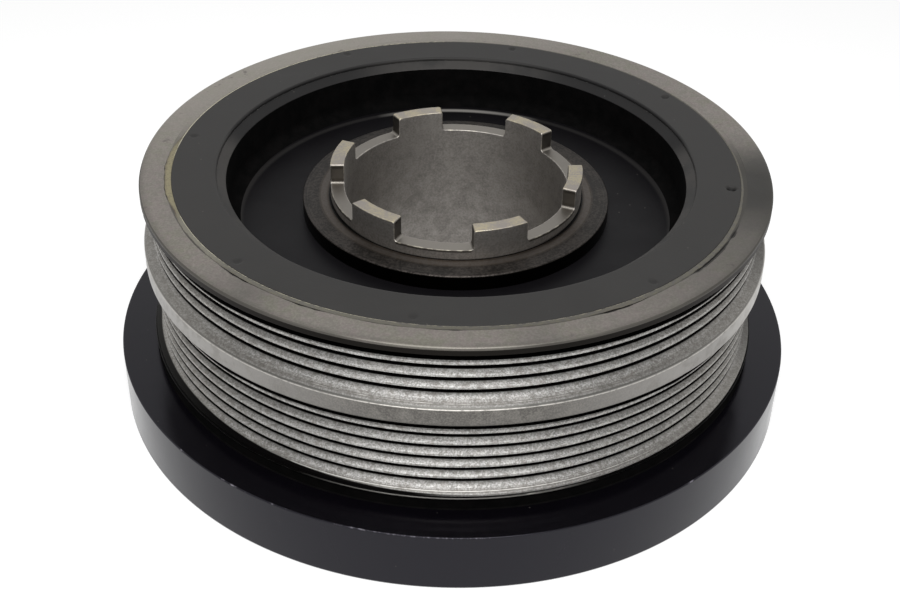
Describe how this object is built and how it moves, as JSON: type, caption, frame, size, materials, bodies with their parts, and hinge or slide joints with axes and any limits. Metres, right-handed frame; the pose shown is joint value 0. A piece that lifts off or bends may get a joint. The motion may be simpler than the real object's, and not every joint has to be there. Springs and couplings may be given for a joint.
{
  "type": "harmonic balancer",
  "caption": "Crankshaft damper pulley with ribbed belt tracks, a rubber ring, a dished black hub with a dogged drive sleeve, and a wide black inertia ring behind.",
  "frame": {"origin": "on the axis, at the rear face that the balancer stands on", "axes": "+Z along the axis, out of the front with the drive dogs"},
  "size_m": [0.1924, 0.1924, 0.0673],
  "materials": {
    "machined_iron": "fine turned, bare",
    "bonded_rubber": "moulded matte",
    "black_paint": "satin black",
    "machined_steel": "turned, dull"
  },
  "bodies": {
    "root": {"pulley_ring": "machined_iron", "rubber_ring": "bonded_rubber", "hub": "black_paint", "drive_sleeve": "machined_steel", "inertia_ring": "black_paint", "inertia_rubber": "bonded_rubber"}
  },
  "joints": []
}
